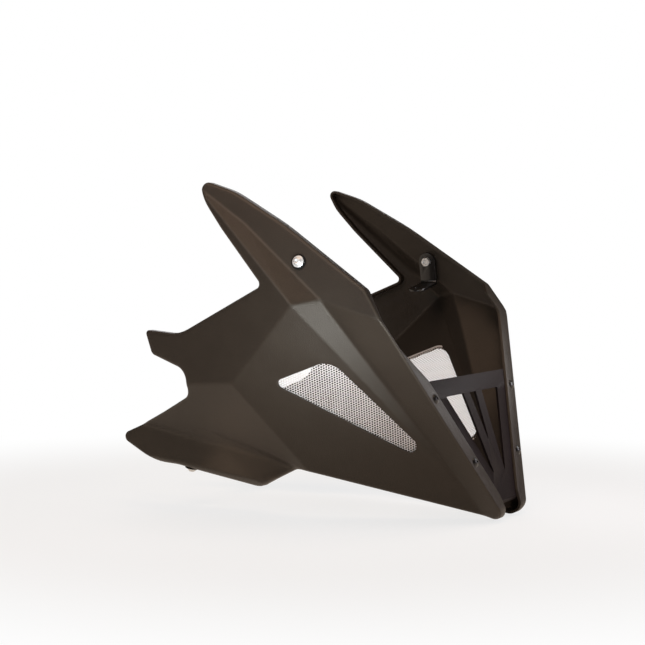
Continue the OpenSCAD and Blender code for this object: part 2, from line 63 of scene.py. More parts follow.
def plane_through(a, b, c):
    """Half width over the side view as (per x, per z, constant), through three skin points."""
    rows = np.array([[p[0], p[2], 1.0] for p in (a, b, c)])
    return np.linalg.solve(rows, np.array([p[1] for p in (a, b, c)], float))


def on_panel(panel, x, z):
    """The point of a panel's plane at a forward position and a height."""
    return (x, panel[0] * x + panel[1] * z + panel[2], z)


def beyond(a, b, times):
    """A point on the line from a through b, this many times their distance from a."""
    return tuple(p + (q - p) * times for p, q in zip(a, b))


def front_x(z):
    """Forward position of the front edge at a height."""
    return bend[0] + (bend[2] - z) * math.tan(front_lean)


# The panels' planes, and the fold points that lie on them
front_run = 207
front_low = (bend[0] + front_run * math.sin(front_lean), bend[1] - front_taper * front_run,
             bend[2] - front_run * math.cos(front_lean))
front_panel = plane_through(step_fore, bend, front_low)
foot = on_panel(front_panel, 199.7, 28.1)
vent_panel = plane_through(step_rear, flank_mid, foot)
wing_panel = plane_through(arm_tip, step_rear, flank_mid)
arm_panel = plane_through(arm_tip, top_corner, step_fore)
bow = on_panel(arm_panel, -19.8, 334.1)
wing_root = on_panel(wing_panel, -94.3, 151.1)
knee = on_panel(vent_panel, 30.7, 48.1)
belly_panel = plane_through(flank_mid, wing_root, knee)
high_rear, high_mid, high_fore = (
    on_panel(belly_panel, x, z) for x, z in ((-259.3, 110.1), (-117.3, 98.1), (-37.3, 77.1)))
low_rear, low_mid, low_fore = (-259.3, 88, 105.1), (-87.3, 106, 75.1), (-4.3, 103, 57.1)
bevel_rear, bevel_mid, bevel_fore = (-259.3, 85, 63.1), (-124.3, 100, 47.6), (-47.3, 102, 37.1)

# Points past the outline, so that the panels reach all of it
bevel_slope, skin_low, toe_low, skin_rear = 1.1, 7, -23, -259
drop_rear, drop_mid, drop_fore = (
    (x, w - bevel_slope * (z - skin_low), skin_low)
    for x, w, z in (bevel_rear, bevel_mid, bevel_fore))
arm_over = on_panel(arm_panel, -77, 407)
corner_out = beyond(step_fore, top_corner, 1.5)
bend_out = beyond(step_fore, bend, 1.5)
toe_fore = on_panel(front_panel, 269, toe_low)
foot_run = ((foot[2] - toe_low) * (front_panel[1] - vent_panel[1])
            / (front_panel[0] - vent_panel[0]))
toe_rear = on_panel(front_panel, foot[0] + foot_run, toe_low)
knee_low = on_panel(vent_panel, knee[0], skin_low)
root_out = beyond(flank_mid, wing_root,
                  (skin_rear - flank_mid[0]) / (wing_root[0] - flank_mid[0]))
wing_out = on_panel(wing_panel, skin_rear, 250)

panels = [
    (bow, arm_tip, arm_over, corner_out, step_fore), (step_fore, corner_out, bend_out),
    (foot, step_fore, bend_out, toe_fore, toe_rear), (arm_tip, bow, step_rear),
    (bow, step_fore, step_rear), (step_fore, foot, step_rear),
    (knee, flank_mid, step_rear, foot, toe_rear, knee_low),
    (arm_tip, step_rear, flank_mid, root_out, wing_out),
    (flank_mid, knee, high_fore, high_mid, high_rear, root_out),
    (high_rear, high_mid, low_mid, low_rear), (high_mid, high_fore, low_fore, low_mid),
    (high_fore, knee, low_fore), (low_rear, low_mid, bevel_mid, bevel_rear),
    (low_mid, low_fore, bevel_fore, bevel_mid), (low_fore, knee, bevel_fore),
    (bevel_rear, bevel_mid, drop_mid, drop_rear), (bevel_mid, bevel_fore, drop_fore, drop_mid),
    (bevel_fore, knee, knee_low, drop_fore)]
triangles = [(f[0], f[i], f[i + 1]) for f in panels for i in range(1, len(f) - 1)]
creases = [
    (bow, arm_tip), (bow, step_fore), (step_fore, corner_out), (step_fore, bend_out),
    (step_fore, foot), (arm_tip, step_rear), (bow, step_rear), (step_fore, step_rear),
    (step_rear, foot), (foot, toe_rear), (step_rear, flank_mid), (flank_mid, root_out),
    (flank_mid, knee), (knee, knee_low),
    (high_rear, high_mid), (high_mid, high_fore), (high_fore, knee), (low_rear, low_mid),
    (low_mid, low_fore), (low_fore, knee), (bevel_rear, bevel_mid), (bevel_mid, bevel_fore),
    (bevel_fore, knee)]
# The folds along which a highlight is painted on the moulding
highlight_creases = [(bow, arm_tip), (bow, step_fore), (arm_tip, step_rear), (step_fore, step_rear)]
sill_creases = [(high_rear, high_mid), (high_mid, high_fore), (high_fore, low_fore),
                (low_fore, low_mid), (low_mid, low_rear)]


def side_view(lines):
    """Lines between skin points as seen from the side."""
    return [tuple(np.array([p[0], p[2]], float) for p in line) for line in lines]


crease_lines = side_view(creases)

# How far a crease is rounded to each side of its line, and along the sill, which is rounder
crease_soft, sill_soft, sill_reach = 2.6, 4.5, 14
# The step between the front and vent panels dies out towards the foot: the folds close in by this
fade_rise, fade_drop, fade_reach = 2.0, 2.4, 16


def gap_to(points, a, b):
    """Distance of side-view points from a straight line piece."""
    along = np.clip(((points - a) @ (b - a)) / max((b - a) @ (b - a), 1e-9), 0, 1)
    return np.linalg.norm(points - a - along[:, None] * (b - a), axis=1)


def gap_to_any(points, lines):
    """Distance of side-view points from the nearest of some lines."""
    return np.min([gap_to(points, a, b) for a, b in lines], axis=0)


def sharp_half(points):
    """Half width of the folded skin at side-view points, with its creases still sharp."""
    best = np.full(len(points), -1e9)
    half = np.zeros(len(points))
    for corners in triangles:
        a, b, c = (np.array(p, float) for p in corners)
        e, f = (b - a)[[0, 2]], (c - a)[[0, 2]]
        area = e[0] * f[1] - e[1] * f[0]
        d = points - a[[0, 2]]
        u = (d[:, 0] * f[1] - d[:, 1] * f[0]) / area
        v = (e[0] * d[:, 1] - e[1] * d[:, 0]) / area
        inside = np.minimum(np.minimum(u, v), 1 - u - v)
        value = a[1] + u * (b - a)[1] + v * (c - a)[1]
        better = inside > best
        best[better] = inside[better]
        half[better] = value[better]
    return half


def bulge_near(points, top, low):
    """A swelling that is strongest half way along a fold and dies out to its sides and ends."""
    a, b = side_view([(top, low)])[0]
    along = np.clip(((points - a) @ (b - a)) / ((b - a) @ (b - a)), 0, 1)
    return 4 * along * (1 - along) * np.exp(-(gap_to(points, a, b) / fade_reach) ** 2)


def soft_half(points):
    """Half width with rounded creases, as a mean over a small disc."""
    points = np.asarray(points, float)
    total = sharp_half(points)
    count = 1
    near_sill = np.exp(-(gap_to_any(points, side_view(sill_creases)) / sill_reach) ** 2)
    reach = crease_soft + (sill_soft - crease_soft) * near_sill
    for ring, share in ((6, 0.45), (10, 0.9)):
        for k in range(ring):
            turn = 2 * math.pi * (k + share) / ring
            step = share * np.array([math.cos(turn), math.sin(turn)])
            total = total + sharp_half(points + reach[:, None] * step)
            count += 1
    rise, drop = (bulge_near(points, top, foot) for top in (step_fore, step_rear))
    return total / count + (fade_rise * rise - fade_drop * drop)


# Corners of the side outline as (forward, height, rounding)
belly_edge = ((-158, 47.7), (-45.3, 27.1))
outline = [
    (-83.8, 384.6, 7.1), (-37.3, 369.6, 90), (28.7, 332.4, 300), (132.2, 261.6, 14),
    (bend[0], bend[2], 60), (front_x(-5.4), -5.4, 11.6), (27.3, 51.7, 120), (8.7, 53.8, 26),
    (*belly_edge[1], 24), (*belly_edge[0], 60), (-190, 48.9, 50), (-245.3, 78.1, 7.1),
    (-159.3, 113.6, 90), (-65.8, 154.6, 20), (-158.3, 183.1, 9), (-169.8, 211.1, 4),
    (-114.3, 207.6, 60), (11.7, 265.1, 5), (-48.3, 328.1, 120), (-73.3, 358.1, 60)]
vent = [(12.2, 157.1, 5.5), (81.3, 183.7, 21), (180.3, 55, 8.8)]
least_round, arc_step = 0.4, math.radians(9)


def rounded_loop(corners, inset, spacing=4.0):
    """The loop moved inwards, with the same number of points whatever the inset."""
    count = len(corners)

    def moved(shift):
        out = []
        for i in range(count):
            a, b, c = (np.array(corners[j % count][:2], float) for j in (i - 1, i, i + 1))
            u, v = (b - a) / np.linalg.norm(b - a), (c - b) / np.linalg.norm(c - b)
            nu, nv = np.array([u[1], -u[0]]), np.array([v[1], -v[0]])
            bulge = 1 if u[0] * v[1] - u[1] * v[0] < 0 else -1
            radius = max(corners[i][2] - bulge * shift, least_round)
            out.append((b + (nu + nv) * shift / (1 + nu @ nv), radius))
        return out

    def arcs(loop):
        out = []
        for i in range(count):
            (a, _), (b, r), (c, _) = loop[i - 1], loop[i], loop[(i + 1) % count]
            u, v = (a - b) / np.linalg.norm(a - b), (c - b) / np.linalg.norm(c - b)
            half = math.acos(max(-1, min(1, u @ v))) / 2
            middle = b + (u + v) / np.linalg.norm(u + v) * r / math.sin(half)
            s, e = b + u * r / math.tan(half) - middle, b + v * r / math.tan(half) - middle
            start = math.atan2(s[1], s[0])
            turn = (math.atan2(e[1], e[0]) - start + math.pi) % (2 * math.pi) - math.pi
            out.append((middle, r, start, turn))
        return out

    def on_arc(arc, k, steps):
        middle, r, start, turn = arc
        at = start + turn * k / steps
        return middle + r * np.array([math.cos(at), math.sin(at)])

    base, now = arcs(moved(0)), arcs(moved(inset))
    points = []
    for i in range(count):
        ahead = (i + 1) % count
        steps = max(2, math.ceil(abs(base[i][3]) / arc_step))
        arc = [on_arc(now[i], k, steps) for k in range(steps + 1)]
        straight = np.linalg.norm(on_arc(base[ahead], 0, 1) - on_arc(base[i], 1, 1))
        pieces = max(1, round(straight / spacing))
        gap = on_arc(now[ahead], 0, 1) - arc[-1]
        points += arc + [arc[-1] + gap * k / pieces for k in range(1, pieces)]
    return np.array(points)


def in_loop(points, loop):
    """Which points lie inside a closed loop."""
    inside = np.zeros(len(points), bool)
    for a, b in zip(loop, np.roll(loop, -1, 0)):
        if a[1] == b[1]:
            continue
        crosses = (a[1] > points[:, 1]) != (b[1] > points[:, 1])
        at = a[0] + (b[0] - a[0]) * (points[:, 1] - a[1]) / (b[1] - a[1])
        inside ^= crosses & (points[:, 0] < at)
    return inside


# Rows of points run beside each crease. The other points lie in a slightly uneven grid, and
# keep clear of these rows, of the edges and of each other.
beside_crease, row_step = (-3.8, -2.6, -1.5, -0.5, 0.5, 1.5, 2.6, 3.8), 3.5
off_crease, off_edge, off_point = 5.0, 1.1, 0.9
grid_ratio, uneven = 0.87, 0.2


def sheet_net(outer, holes, spacing):
    """Triangles over the area inside a loop and outside its holes; loops keep their order."""
    rng = np.random.default_rng(7)
    low, high = outer.min(0), outer.max(0)
    xs = np.arange(low[0], high[0], spacing)
    zs = np.arange(low[1], high[1], spacing * grid_ratio)
    grid = np.array([(x + (spacing / 2 if k % 2 else 0), z) for k, z in enumerate(zs) for x in xs])
    grid = grid + rng.uniform(-uneven, uneven, grid.shape)
    rows = []
    near = np.full(len(grid), 1e9)
    for a, b in crease_lines:
        near = np.minimum(near, gap_to(grid, a, b))
        length = np.linalg.norm(b - a)
        side = np.array([-(b - a)[1], (b - a)[0]]) / length
        steps = max(2, int(length / row_step))
        for off in beside_crease:
            rows += [a + (b - a) * (k + 0.5) / steps + side * off for k in range(steps)]
    loops = [outer] + holes
    inner = np.vstack([rows, grid[near > off_crease]])
    keep = in_loop(inner, outer)
    for hole in holes:
        keep &= ~in_loop(inner, hole)
    for loop in loops:
        for a, b in zip(loop, np.roll(loop, -1, 0)):
            keep &= gap_to(inner, a, b) > off_edge
    inner = inner[keep]
    cells, chosen = {}, []
    for p in inner:
        key = (int(p[0] // 1), int(p[1] // 1))
        close = [cells.get((key[0] + i, key[1] + j)) for i in (-1, 0, 1) for j in (-1, 0, 1)]
        if all(q is None or np.hypot(*(p - q)) > off_point for q in close):
            cells[key] = p
            chosen.append(p)
    points = np.vstack(loops + [chosen])
    edges, at = [], 0
    for loop in loops:
        n = len(loop)
        edges += [(at + k, at + (k + 1) % n) for k in range(n)]
        at += n
    out = geometry.delaunay_2d_cdt([Vector(p) for p in points], edges, [], 0, 1e-5)
    home = [ids[0] for ids in out[3]]
    tris = [[home[i] for i in f] for f in out[2]]
    centres = np.array([points[t].mean(0) for t in tris])
    keep = in_loop(centres, outer)
    for hole in holes:
        keep &= ~in_loop(centres, hole)
    return points, [t for t, k in zip(tris, keep) if k]


roll, edge_small, edge_fine, vent_round = 3.0, 0.4, 0.12, 0.7
outer_loop = rounded_loop(outline, roll)
waist_r = 6.0
arm_hole_at = np.array([51.7, 291.1])
circle = np.array([[math.cos(t), -math.sin(t)] for t in np.linspace(0, 2 * math.pi, 33)[:-1]])
arm_hole = arm_hole_at + waist_r * circle

# The flange runs along the front edge. It narrows at the toe and ends above in the plain lip.
# The right one is trimmed to a narrow edge between these heights.
flange_near, flange_top, flange_ends, flange_ramp = 14, 270, 252, 12
toe_from, toe_ramp, toe_back, toe_run, toe_top = 3, 24, 204, 9, 40
trim_heights, trim_depth = (161, 198, 228.6, 259), 4.2
# The tab of the bottom lip that carries the rear rubber
rear_hole_x, rear_hole_inset, tab_half, tab_round, tab_top = -143, 11, 11.2, 11, 60


def lip_depths(points, trimmed):
    """Depth of the rolled edge at each point of the outline."""
    depths = []
    for x, z in points:
        deep = lip_depth
        if z < flange_top and abs(x - front_x(z)) * math.cos(front_lean) < flange_near:
            high = min(1, max(0, (z - flange_ends) / flange_ramp))
            widening = (flange_depth - toe_depth) * max(0, z - toe_from) / toe_ramp
            deep = min(flange_depth + (lip_depth - flange_depth) * high, toe_depth + widening)
            if trimmed and z > trim_heights[0]:
                widths = (flange_depth, trim_depth, trim_depth, lip_depth)
                deep = float(np.interp(z, trim_heights, widths))
        elif z < toe_top:
            deep += (toe_depth - lip_depth) * min(1, max(0, (x - toe_back) / toe_run))
        tab = 1 - ((x - rear_hole_x) / tab_half) ** 2
        if tab > 0 and z < tab_top:
            deep = max(deep, rear_hole_inset + tab_round * math.sqrt(tab))
        depths.append(deep)
    return np.array(depths)


def outward_mesh(name, points, faces):
    """A closed mesh with all its faces turned outwards."""
    mesh = bpy.data.meshes.new(name)
    mesh.from_pydata(points, [], faces)
    bm = bmesh.new()
    bm.from_mesh(mesh)
    bmesh.ops.recalc_face_normals(bm, faces=bm.faces)
    bm.to_mesh(mesh)
    bm.free()
    return mesh


# Painted highlight: how strong and how far along the folds, and at angles round the rolled edge
fold_highlight, fold_highlight_reach = 0.75, 1.15
roll_highlight = ((18, 0.5), (36, 0.75), (54, 0.3), (72, 0.05), (90, 0.0))
cut_highlight, vent_highlight = 0.15, 0.4


def shell_mesh(name, side):
    """A whole side shell as one closed mesh."""
    points, faces, point_highlights = [], [], []

    def add(plan, depth, painted_highlight):
        first = len(points)
        half = soft_half(plan) - depth
        points.extend((x * MM, side * w * MM, z * MM) for (x, z), w in zip(plan, half))
        point_highlights.extend(np.broadcast_to(painted_highlight, len(plan)))
        return list(range(first, len(points)))

    def face_of_wall(outer, opening, depth, spacing, most_highlight):
        """Adds one face, and returns the rims of its outline, its vent and its hole."""
        plan, tris = sheet_net(outer, [opening, arm_hole], spacing)
        # The painted highlight is strongest on the arm's main folds and fades off them
        near = gap_to_any(plan, side_view(highlight_creases))
        ids = add(plan, depth, most_highlight * np.exp(-(near / fold_highlight_reach) ** 2))
        faces.extend([ids[i] for i in t] for t in tris)
        n, m = len(outer), len(outer) + len(opening)
        return ids[:n], ids[n:m], ids[m:m + len(arm_hole)]

    def band(a, b):
        n = len(a)
        faces.extend((a[k], a[(k + 1) % n], b[(k + 1) % n], b[k]) for k in range(n))

    def sweep(last, corners, rows):
        """Adds rows of (inset, depth, painted highlight) round an edge, and returns the last of
        them.
        """
        for inset, depth, painted_highlight in rows:
            row = add(rounded_loop(corners, inset), depth, painted_highlight)
            band(last, row)
            last = row
        return last

    rim, vent_rim, hole_rim = face_of_wall(
        outer_loop, rounded_loop(vent, -vent_round), 0.0, 5.0, fold_highlight)
    # The rolled edge, with a highlight painted round its rounding, then the cut edge with a faint
    # painted highlight
    turns = [(math.radians(turn), painted_highlight) for turn, painted_highlight in roll_highlight]
    last = sweep(rim, outline, [(roll * (1 - math.sin(t)), roll * (1 - math.cos(t)), painted_highlight)
                                for t, painted_highlight in turns])
    depth_here = lip_depths(rounded_loop(outline, 0), side < 0)
    last = sweep(last, outline, [(inset, depth_here - drop, cut_highlight) for inset, drop in (
        (0, edge_small), (edge_fine, edge_fine), (edge_small, 0), (wall - edge_small, 0),
        (wall - edge_fine, edge_fine), (wall, edge_small))])
    last = sweep(last, outline, ((wall, wall + edge_small, 0),
                                 (wall + edge_fine, wall + edge_fine, 0)))
    back_rim, vent_back, hole_back = face_of_wall(
        rounded_loop(outline, wall + edge_small), rounded_loop(vent, 0), wall, 7.0, 0)
    band(last, back_rim)
    # The vent's rim, with a painted highlight
    last = sweep(vent_rim, vent, ((-0.2, 0.15, vent_highlight), (0, vent_round, vent_highlight)))
    band(last, vent_back)
    band(hole_rim, hole_back)
    mesh = outward_mesh(name, points, faces)
    # Each point's painted highlight strength, which the plastic finish reads
    painted_highlight = mesh.attributes.new("painted_highlight", "FLOAT", "POINT")
    painted_highlight.data.foreach_set("value", [float(w) for w in point_highlights])
    return mesh


def put_in_scene(name, mesh, finish, node):
    """Adds a piece that stands for a CAD node and rides on the body."""
    mesh.materials.append(finish)
    mesh.shade_smooth()
    mesh.set_sharp_from_angle(angle=math.radians(32))
    piece = bpy.data.objects.new(name, mesh)
    bpy.context.scene.collection.objects.link(piece)
    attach(piece, "root")
    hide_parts(node)


def fill(socket, value):
    """Links a tone to a socket, or sets the socket's own value."""
    if isinstance(value, Tone):
        value.tree.links.new(value.socket, socket)
    else:
        socket.default_value = value


class Tone:
    """A value, colour or direction on its way through the nodes of a finish."""

    def __init__(self, tree, socket=None):
        self.tree, self.socket = tree, socket

    def node(self, kind, settings=None, inputs=None, out=0):
        made = self.tree.nodes.new("ShaderNode" + kind)
        for key, value in (settings or {}).items():
            if key == "stops":
                for stop, (place, shade) in zip(made.color_ramp.elements, value):
                    stop.position = place
                    stop.color = (shade, shade, shade, 1)
            else:
                setattr(made, key, value)
        for key, value in (inputs or {}).items():
            fill(made.inputs[key], value)
        return Tone(self.tree, made.outputs[out])

    def math(self, operation, a, b):
        return self.node("Math", {"operation": operation}, {0: a, 1: b})

    def __add__(self, other):
        return self.math("ADD", self, other)

    __radd__ = __add__

    def __mul__(self, other):
        return self.math("MULTIPLY", self, other)

    __rmul__ = __mul__

    def between(self, low, high):
        """Mixes two colours by this value."""
        return self.node("Mix", {"data_type": "RGBA"}, {0: self, 6: low, 7: high}, 2)


def new_finish(name):
    """An empty finish, its surface, and the place on the object as a tone to start from."""
    finish = bpy.data.materials.new(name)
    finish.use_nodes = True
    place = Tone(finish.node_tree).node("TexCoord", out="Object")
    return finish, finish.node_tree.nodes["Principled BSDF"], place


def noise(place, scale, detail):
    """Random light and dark over the object, finer with a larger scale."""
    return place.node("TexNoise", None, {"Vector": place, "Scale": scale, "Detail": detail})


def bumps(height, strength, distance):
    """The direction of a surface with this texture."""
    return height.node("Bump", None, {"Height": height, "Strength": strength,
                                      "Distance": distance})


def feed(node, **values):
    """Links or sets sockets of a node, with underscores for the spaces of their names."""
    for key, value in values.items():
        fill(node.inputs[key.replace("_", " ")], value)


def black_plastic(name, dark, light, grain, rough, sheen):
    """Matt black moulded plastic with a fine texture, a little dust and painted edge highlights."""
    finish, surface, place = new_finish(name)
    fine, speck, cloud = (noise(place, scale, detail) for scale, detail in (
        (2600.0, 2.0), (900.0, 1.0), (22.0, 3.0)))
    painted_highlight = place.node("Attribute", {"attribute_name": "painted_highlight"}, out="Fac")
    patch = place.node("ValToRGB", {"stops": ((0.35, 0.0), (0.7, 1.0))}, {"Fac": cloud})
    tone = (patch * 0.35 + fine * 0.3 + speck * 0.2).between(dark, light)
    # A warm tan is mixed in where the mesh marks folds and edges: a painted highlight
    highlighted = (painted_highlight * (0.25 + fine * 0.5)).between(tone, (0.10, 0.085, 0.07, 1))
    feed(surface, Base_Color=highlighted, Roughness=rough + 0.10 * cloud,
         Normal=bumps(fine + speck * 1.1, grain, 0.0003),
         Specular_IOR_Level=sheen, Specular_Tint=(1.0, 0.90, 0.80, 1))
    return finish


shell_finish = black_plastic("shell_plastic_finish", dark=(0.018, 0.0135, 0.0105, 1),
                             light=(0.033, 0.026, 0.020, 1), grain=0.55, rough=0.40, sheen=0.40)
# Each side's name, and which way it lies from the middle
sides = (("right", -1), ("left", 1))
for side_name, side in sides:
    node = side_name + "_shell"
    put_in_scene(node + "_moulding", shell_mesh(node + "_moulding", side), shell_finish,
                 node)

# ---- Front plate ----
# A flat black plastic plate between the two front flanges, bolted behind them by four screws.
# Three tapered openings let air through, and its foot is turned back for stiffness.


# Faces that turn less than the first are one flat, and edges that turn more than the second
# are rounded
flat_turn, edge_turn = math.radians(1.0), math.radians(35)


def softened(node, width):
    """A copy of a CAD node's mesh with its sharp edges rounded off."""
    bm = bmesh.new()
    bm.from_mesh(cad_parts[node].data)
    bmesh.ops.remove_doubles(bm, verts=bm.verts, dist=1e-6)
    bmesh.ops.dissolve_limit(bm, angle_limit=flat_turn, verts=bm.verts, edges=bm.edges)
    sharp = [e for e in bm.edges if len(e.link_faces) == 2 and e.calc_face_angle(0) > edge_turn]
    bmesh.ops.bevel(bm, geom=sharp, offset=width * MM, segments=2, profile=0.6,
                    affect="EDGES", clamp_overlap=True)
    mesh = bpy.data.meshes.new(node + "_soft")
    bm.to_mesh(mesh)
    bm.free()
    return mesh


plate_finish = black_plastic("plate_plastic_finish", dark=(0.011, 0.0075, 0.0085, 1),
                             light=(0.020, 0.0135, 0.0155, 1), grain=0.3, rough=0.50, sheen=0.12)
put_in_scene("front_plate_sheet", softened("front_plate", width=0.5), plate_finish,
             "front_plate")

# ---- Vent inserts ----
# Fine expanded aluminium, cut a little larger than the vent and bonded to the shell's back.
# The slit sheet is drawn open, so each small opening has slanting strands round it.

strand_pitch, strand_rows = 3.3, 2.25
opening_along, opening_across = 0.78, 0.64
sheet_off, strand_tilt, opening_tilt, strand_deep = 0.35, 0.28, 0.12, 0.35
insert_loop = rounded_loop(vent, -4.2, 1.0)
insert_inner = rounded_loop(vent, -2.4, 1.0)
insert_cells = rounded_loop(vent, -3.0)
rim_half = 0.3
# The cell of a staggered pattern is a stretched hexagon with points up and down
cell = ((0, 0.667), (-0.5, 0.333), (-0.5, -0.333), (0, -0.667), (0.5, -0.333), (0.5, 0.333))


def insert_mesh(name, side):
    """Staggered openings with a raised strand between them, over the whole insert."""
    slope = math.atan2(vent[2][1] - vent[0][1], vent[2][0] - vent[0][0]) + math.radians(58)
    along = np.array([math.cos(slope), math.sin(slope)])
    across = np.array([-along[1], along[0]])
    middle = np.array([79.0, 135.0])
    points, faces, rings = [], [], []

    def put(plan, lift):
        half = plan @ vent_panel[:2] + vent_panel[2]
        points.extend((x * MM, side * (w - wall - sheet_off + lift) * MM, z * MM)
                      for (x, z), w in zip(plan, half))
        return len(points) - len(plan)

    centres = np.array([
        middle + (i + (0.5 if j % 2 else 0)) * strand_pitch * along + j * strand_rows * across
        for j in range(-60, 61) for i in range(-40, 41)])
    centres = centres[in_loop(centres, insert_cells)]
    for k, (u, v) in enumerate(cell):
        tilt = math.cos(math.radians(60 * k))
        edge = centres + u * strand_pitch * along + v * strand_rows * across
        for i in np.flatnonzero(~in_loop(edge, insert_loop)):
            edge[i] = insert_loop[np.argmin(np.linalg.norm(insert_loop - edge[i], axis=1))]
        hole = (centres + opening_along * u * strand_pitch * along
                + opening_across * v * strand_rows * across)
        rings.append([put(edge, strand_tilt * tilt), put(hole, opening_tilt * tilt + opening_tilt),
                      put(hole, opening_tilt * tilt - strand_deep)])
    for here, ahead in zip(rings, rings[1:] + rings[:1]):
        for i in range(len(centres)):
            for a, b in ((0, 1), (1, 2), (2, 0)):
                faces.append((here[a] + i, ahead[a] + i, ahead[b] + i, here[b] + i))
    # A plain rim all round, hidden behind the shell, where the insert is bonded on
    ring = [put(loop, lift) for loop, lift in ((insert_loop, rim_half), (insert_inner, rim_half),
                                               (insert_inner, -rim_half), (insert_loop, -rim_half))]
    n = len(insert_inner)
    for a, b in zip(ring, ring[1:] + ring[:1]):
        faces += [(a + i, a + (i + 1) % n, b + (i + 1) % n, b + i) for i in range(n)]
    mesh = bpy.data.meshes.new(name)
    mesh.from_pydata(points, [], faces)
    return mesh


def bright_metal(name, shade, rough, scale, metal):
    """Bare bright metal with fine streaks and a little dulling."""
    finish, surface, place = new_finish(name)
    streak, cloud = noise(place, scale, 3.0), noise(place, 60.0, 2.0)
    dull = tuple(0.8 * s for s in shade)
    feed(surface, Base_Color=(0.5 * streak + 0.5 * cloud).between(dull + (1,), shade + (1,)),
         Metallic=metal, Roughness=rough + 0.15 * cloud, Normal=bumps(streak, 0.15, 0.0001))
    return finish


vent_finish = bright_metal("vent_metal_finish", (0.98, 0.93, 0.92), rough=0.42, scale=800.0,
                           metal=0.3)
for side_name, side in sides:
    name = side_name + "_vent_insert"
    put_in_scene(name, insert_mesh(name, side), vent_finish, side_name + "_vent_mesh")

# ---- Plate screws, washers and nuts ----
# Black M5 button heads with a hexagon socket hold each flange to the plate, two on each side.
# Behind the plate each has a plain washer and a nut, and the thread ends just past the nut.

around = 48


def turned(rows):
    """A closed turned shape from (radius, height) rows, top to bottom."""
    points, faces, last = [], [], None
    for radius, height in rows:
        if radius < 1e-6:
            points.append((0.0, 0.0, height * MM))
            row = [len(points) - 1]
        else:
            first = len(points)
            points += [(radius * MM * math.cos(2 * math.pi * k / around),
                        radius * MM * math.sin(2 * math.pi * k / around), height * MM)
                       for k in range(around)]
            row = list(range(first, first + around))
        if last:
            for k in range(around):
                a, b = last[k % len(last)], last[(k + 1) % len(last)]
                c, d = row[(k + 1) % len(row)], row[k % len(row)]
                faces.append(tuple(dict.fromkeys((a, b, c, d))))
        last = row
    return points, faces


dome_rows, thread_pitch = 8, 0.8
# Steps of the brim as (outwards, share of its height), and of a thread as (outwards, up)
brim_shape = ((-0.9, 1), (-0.25, 0.55), (0, 0.3), (0, 0))
thread_shape = ((-0.25, -0.15), (0, -0.4), (-0.25, -0.65))
# The socket's opening and draft as shares of its size, its chamfer, and how deep in the head
# its walls and its floor reach
socket_open, socket_draft, socket_chamfer, socket_wall, socket_floor = 1.12, 0.98, 0.25, 0.68, 0.74


def socket_screw(name, head_d, head_h, socket, thread, length, brim_d=0, brim_h=0):
    """A domed screw with a hexagon socket and a ribbed thread, its bearing face at zero."""
    dome_r = (head_d ** 2 / 4 + head_h ** 2) / (2 * head_h)
    top = head_h + brim_h
    hex_r = socket / math.sqrt(3)
    rows = []
    for k in range(dome_rows, -1, -1):
        radius = head_d / 2 * (1 - k / dome_rows) + hex_r * socket_open * k / dome_rows
        rows.append((radius, top - dome_r + math.sqrt(dome_r ** 2 - radius ** 2)))
    if brim_d:
        rows += [(brim_d / 2 + out, brim_h * share) for out, share in brim_shape]
    else:
        rows += [(head_d / 2, 0.0)]
    rows += [(thread / 2, 0.0)]
    turns = int(length / thread_pitch)
    for k in range(turns):
        z = -k * length / turns
        rows += [(thread / 2 + out, z + up) for out, up in thread_shape]
    rows += [(thread / 2 - 0.5, -length), (0, -length)]
    points, faces = turned(rows)
    # The socket: a hexagon sunk into the dome, with a narrow chamfer and a flat floor
    first = len(points)
    for radius, height in ((hex_r, rows[0][1] - socket_chamfer),
                           (hex_r * socket_draft, top - head_h * socket_wall)):
        for k in range(around):
            turn = 2 * math.pi * k / around
            flat = math.cos(math.pi / 6) / math.cos((turn % (math.pi / 3)) - math.pi / 6)
            points.append((radius * flat * MM * math.cos(turn),
                           radius * flat * MM * math.sin(turn), height * MM))
    points.append((0, 0, (top - head_h * socket_floor) * MM))
    low = first + around
    for k in range(around):
        n = (k + 1) % around
        faces += [(k, first + k, first + n, n), (first + k, low + k, low + n, first + n),
                  (low + k, low + around, low + n)]
    return outward_mesh(name, points, faces)


def seated(mesh, origin, x_axis, y_axis, z_axis):
    """Moves a mesh made at zero to its seat, given in millimetres and unit directions."""
    seat = Matrix((x_axis, y_axis, z_axis)).transposed().to_4x4()
    seat.translation = Vector(origin) * MM
    mesh.transform(seat)
    return mesh


def blackened_steel(name):
    """Black-oxide steel, slightly glossy where it has been handled."""
    finish, surface, place = new_finish(name)
    fine, cloud = noise(place, 1800.0, 2.0), noise(place, 180.0, 2.0)
    tone = (0.6 * cloud + 0.4 * fine).between((0.004, 0.0035, 0.0035, 1), (0.012, 0.010, 0.010, 1))
    feed(surface, Base_Color=tone, Metallic=0.2, Roughness=0.24 + 0.2 * cloud,
         Normal=bumps(fine, 0.15, 0.0001), Coat_Weight=0.35, Coat_Roughness=0.12)
    return finish


black_steel_finish = blackened_steel("black_steel_finish")
screw_stations = (("upper", 93.0), ("lower", 171.0))
screw_inset = 13.6
front_out = Vector((math.cos(front_lean), 0, math.sin(front_lean)))
front_down = Vector((math.sin(front_lean), 0, -math.cos(front_lean)))
for side_name, side in sides:
    for level, station in screw_stations:
        tag = "plate_%s_" + side_name + "_" + level
        seat = Vector((bend[0], 0, bend[2])) + front_down * station
        seat.y = side * (bend[1] - front_taper * station - screw_inset)
        mesh = socket_screw(tag % "screw" + "_piece", head_d=11.6, head_h=3.1, socket=3.2,
                            thread=5.0, length=12.0)
        seated(mesh, seat, -front_down, Vector((0, 1, 0)), front_out)
        put_in_scene(mesh.name, mesh, black_steel_finish, tag % "screw")
        for part in ("washer", "nut"):
            put_in_scene(tag % part + "_piece", softened(tag % part, width=0.2),
                         black_steel_finish, tag % part)

